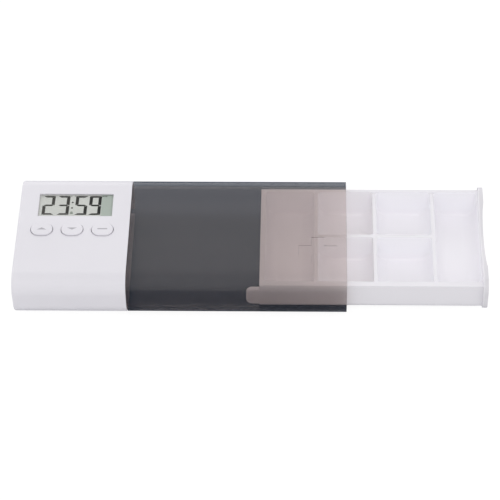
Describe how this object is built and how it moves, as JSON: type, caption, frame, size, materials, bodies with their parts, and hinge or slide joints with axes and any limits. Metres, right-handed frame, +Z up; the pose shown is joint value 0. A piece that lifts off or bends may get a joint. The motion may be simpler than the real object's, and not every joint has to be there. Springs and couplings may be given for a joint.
{
  "type": "electronic pill box",
  "caption": "Flat pill organiser: a white timer head with a display and push buttons, a see-through smoky sleeve and a sliding tray of pill compartments.",
  "frame": {"origin": "middle of the footprint with the tray drawn out as in the picture, on the surface that the box lies on", "axes": "+X from the timer head towards the tray's end plate, +Y from the buttons towards the display and the rear edge, +Z up"},
  "size_m": [0.1996, 0.065, 0.0216],
  "materials": {
    "white_abs": "satin",
    "smoky_styrene": "polished, see-through",
    "clear_acrylic": "polished, clear",
    "display_glass": "smooth",
    "grey_plastic": "matte",
    "green_laminate": "satin",
    "black_plastic": "matte",
    "black_epoxy": "glossy",
    "pink_silicone": "matte",
    "plated_steel": "bright nickel plating",
    "battery_sleeve": "printed film, satin",
    "red_pvc": "satin",
    "black_pvc": "satin"
  },
  "bodies": {
    "housing": {"head_top_shell": "white_abs", "head_bottom_cover": "white_abs", "sleeve": "smoky_styrene", "tray_bulkhead": "white_abs", "display_lens": "clear_acrylic", "display_cell": "display_glass", "display_holder": "grey_plastic", "connector_strip_front": "pink_silicone", "connector_strip_rear": "pink_silicone", "circuit_board": "green_laminate", "buzzer": "black_plastic", "timer_chip": "black_epoxy", "quartz_crystal": "plated_steel", "switch_body_left": "black_plastic", "switch_body_middle": "black_plastic", "switch_body_right": "black_plastic", "battery_left": "battery_sleeve", "battery_right": "battery_sleeve", "battery_bridge": "plated_steel", "battery_contact_plus": "plated_steel", "battery_contact_minus": "plated_steel", "battery_spring_front": "plated_steel", "battery_spring_rear": "plated_steel", "lead_red": "red_pvc", "lead_black": "black_pvc", "case_screw_1": "plated_steel", "case_screw_2": "plated_steel", "case_screw_3": "plated_steel", "case_screw_4": "plated_steel"},
    "tray": {"pill_tray": "white_abs"},
    "door": {"battery_door": "white_abs"},
    "button_left": {"button_cap_left": "white_abs", "switch_stem_left": "black_plastic"},
    "button_middle": {"button_cap_middle": "white_abs", "switch_stem_middle": "black_plastic"},
    "button_right": {"button_cap_right": "white_abs", "switch_stem_right": "black_plastic"}
  },
  "joints": [
    {"name": "tray_slide", "type": "slide", "parent": "housing", "child": "tray", "axis": [1, 0, 0], "range_m": [-0.0591, 0.024]},
    {"name": "battery_door_slide", "type": "slide", "parent": "housing", "child": "door", "axis": [0, 1, 0], "range_m": [0, 0.05]},
    {"name": "button_left_press", "type": "slide", "parent": "housing", "child": "button_left", "axis": [0, 0, -1], "range_m": [0, 0.0005], "stiffness_N_per_m": 3000},
    {"name": "button_middle_press", "type": "slide", "parent": "housing", "child": "button_middle", "axis": [0, 0, -1], "range_m": [0, 0.0005], "stiffness_N_per_m": 3000},
    {"name": "button_right_press", "type": "slide", "parent": "housing", "child": "button_right", "axis": [0, 0, -1], "range_m": [0, 0.0005], "stiffness_N_per_m": 3000}
  ]
}
